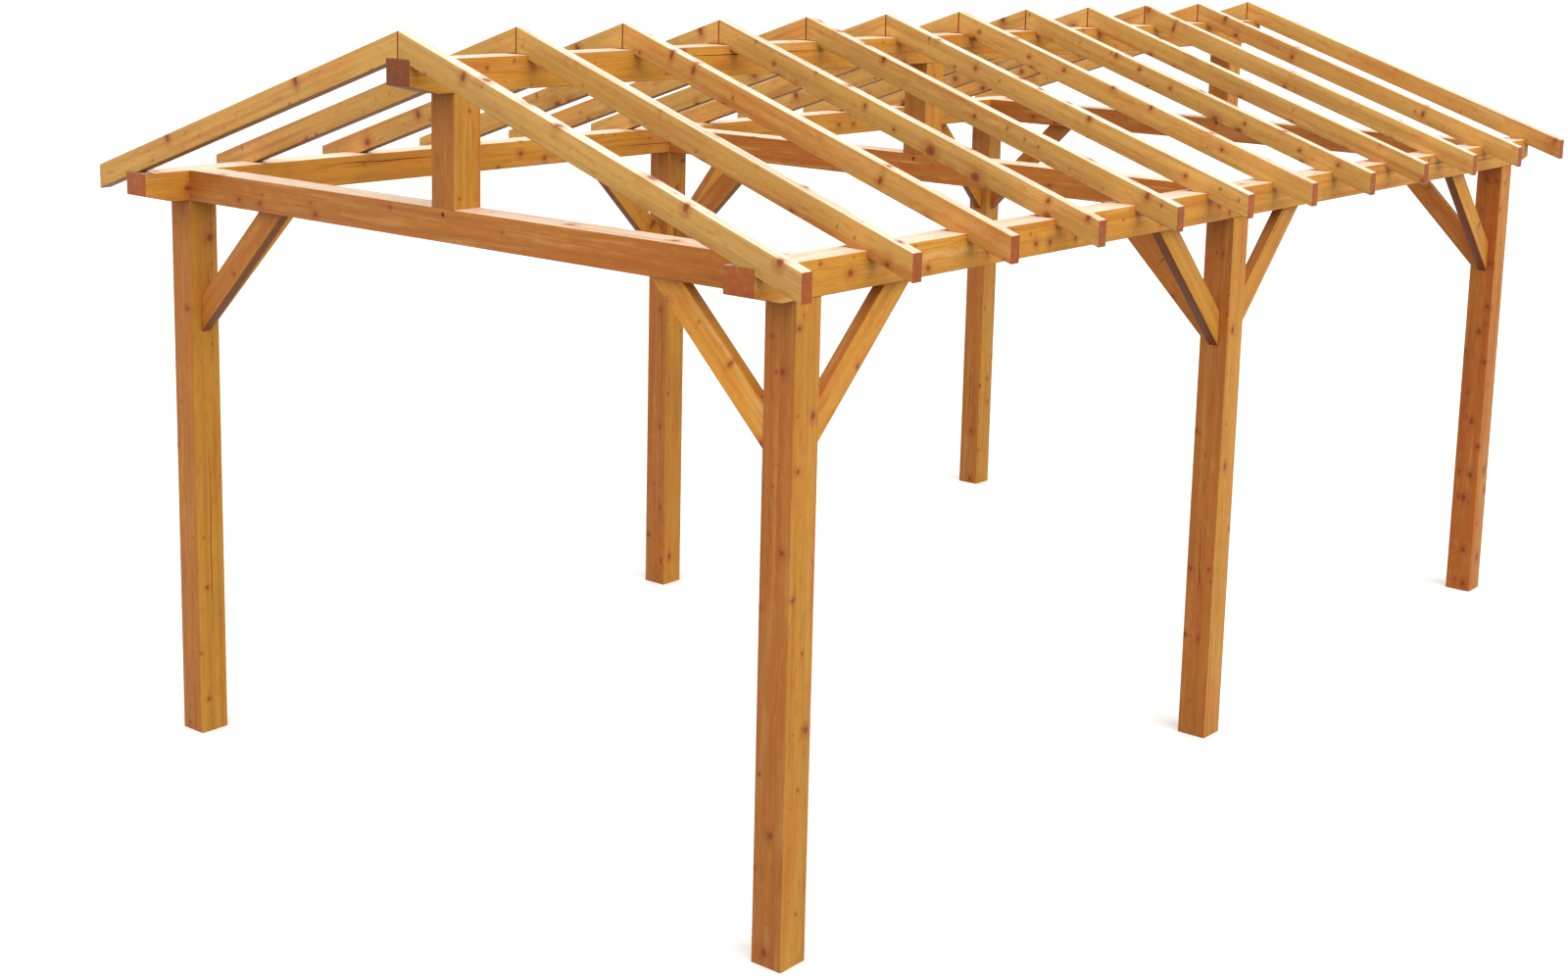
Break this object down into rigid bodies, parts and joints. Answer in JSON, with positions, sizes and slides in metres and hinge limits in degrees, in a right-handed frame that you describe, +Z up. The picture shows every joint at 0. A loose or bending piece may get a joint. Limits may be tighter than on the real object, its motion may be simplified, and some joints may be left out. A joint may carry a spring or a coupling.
{
  "type": "timber carport frame",
  "caption": "Open timber carport with a low gable roof frame: square posts, knee braces, tie beams, king posts, ridge purlin and bare rafters.",
  "frame": {"origin": "on the ground, in the middle of the plan", "axes": "+Z up, Y along the ridge from the front gable at -Y to the back gable at +Y, X across the gable"},
  "size_m": [3.56, 6.085, 2.9432],
  "materials": {
    "post_timber": "planed spruce with a honey-brown glaze, satin",
    "beam_timber": "planed spruce with a honey-brown glaze, satin",
    "brace_timber": "planed spruce with a honey-brown glaze, satin",
    "rafter_timber": "planed spruce with a light golden glaze, satin"
  },
  "bodies": {
    "root": {"eaves_plate_left": "beam_timber", "post_front_left": "post_timber", "braces_front_left": "brace_timber", "post_middle_left": "post_timber", "braces_middle_left": "brace_timber", "post_back_left": "post_timber", "braces_back_left": "brace_timber", "rafter_left_1": "rafter_timber", "rafter_left_2": "rafter_timber", "rafter_left_3": "rafter_timber", "rafter_left_4": "rafter_timber", "rafter_left_5": "rafter_timber", "rafter_left_6": "rafter_timber", "rafter_left_7": "rafter_timber", "rafter_left_8": "rafter_timber", "rafter_left_9": "rafter_timber", "rafter_left_10": "rafter_timber", "rafter_left_11": "rafter_timber", "rafter_left_12": "rafter_timber", "eaves_plate_right": "beam_timber", "post_front_right": "post_timber", "braces_front_right": "brace_timber", "post_middle_right": "post_timber", "braces_middle_right": "brace_timber", "post_back_right": "post_timber", "braces_back_right": "brace_timber", "rafter_right_1": "rafter_timber", "rafter_right_2": "rafter_timber", "rafter_right_3": "rafter_timber", "rafter_right_4": "rafter_timber", "rafter_right_5": "rafter_timber", "rafter_right_6": "rafter_timber", "rafter_right_7": "rafter_timber", "rafter_right_8": "rafter_timber", "rafter_right_9": "rafter_timber", "rafter_right_10": "rafter_timber", "rafter_right_11": "rafter_timber", "rafter_right_12": "rafter_timber", "tie_beam_front": "beam_timber", "king_post_front": "post_timber", "tie_beam_middle": "beam_timber", "king_post_middle": "post_timber", "tie_beam_back": "beam_timber", "king_post_back": "post_timber", "ridge_purlin": "beam_timber"}
  },
  "joints": []
}
